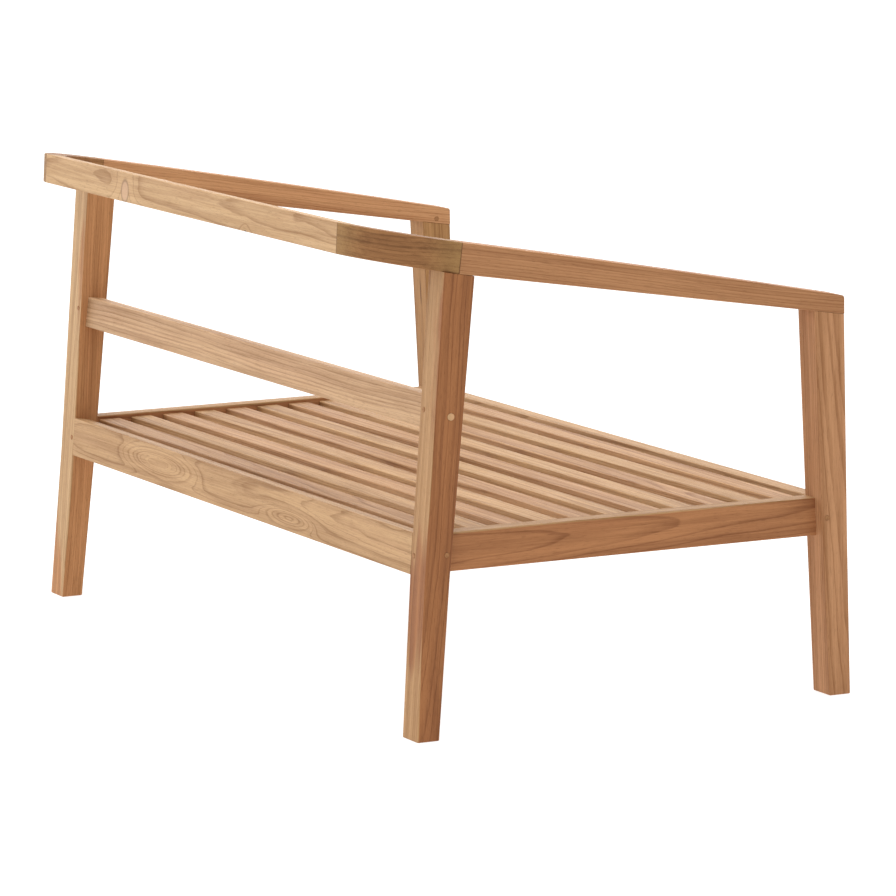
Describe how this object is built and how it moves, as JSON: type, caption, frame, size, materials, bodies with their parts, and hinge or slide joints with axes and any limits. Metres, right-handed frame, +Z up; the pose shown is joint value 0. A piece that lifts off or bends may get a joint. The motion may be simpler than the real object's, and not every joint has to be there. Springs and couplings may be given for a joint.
{
  "type": "garden bench",
  "caption": "Low outdoor two-seat bench frame in teak with a slatted seat, tapered legs and a sloping top ring that forms the arms and the back rail.",
  "frame": {"origin": "on the floor at the middle of the footprint", "axes": "+X to the right along the bench's length, +Y to the back, +Z up; the front of the bench faces -Y"},
  "size_m": [1.311, 0.7269, 0.6998],
  "materials": {
    "post_wood": "sanded, untreated",
    "ring_wood": "sanded, untreated",
    "rail_wood": "sanded, untreated",
    "slat_wood": "sanded, untreated",
    "support_wood": "sanded, untreated",
    "peg_wood": "sanded, untreated",
    "plug_wood": "sanded, untreated",
    "dowel_wood": "sanded, untreated",
    "screw_steel": "satin"
  },
  "bodies": {
    "root": {"rear_post_left": "post_wood", "rear_post_right": "post_wood", "front_post_left": "post_wood", "front_post_right": "post_wood", "back_top_rail": "ring_wood", "corner_block_left": "ring_wood", "corner_block_right": "ring_wood", "arm_left": "ring_wood", "arm_right": "ring_wood", "back_mid_rail": "rail_wood", "seat_rear_rail": "rail_wood", "seat_front_rail": "rail_wood", "seat_side_rail_left": "rail_wood", "seat_side_rail_right": "rail_wood", "slat_01": "slat_wood", "slat_02": "slat_wood", "slat_03": "slat_wood", "slat_04": "slat_wood", "slat_05": "slat_wood", "slat_06": "slat_wood", "slat_07": "slat_wood", "slat_08": "slat_wood", "slat_09": "slat_wood", "slat_10": "slat_wood", "slat_11": "slat_wood", "slat_cleat_left": "support_wood", "slat_cleat_right": "support_wood", "seat_centre_bearer": "support_wood", "tenon_pegs": "peg_wood", "screw_plugs": "plug_wood", "ring_dowels": "dowel_wood", "post_top_dowels": "dowel_wood", "mid_rail_screws": "screw_steel", "slat_screws": "screw_steel", "cleat_screws": "screw_steel"}
  },
  "joints": []
}
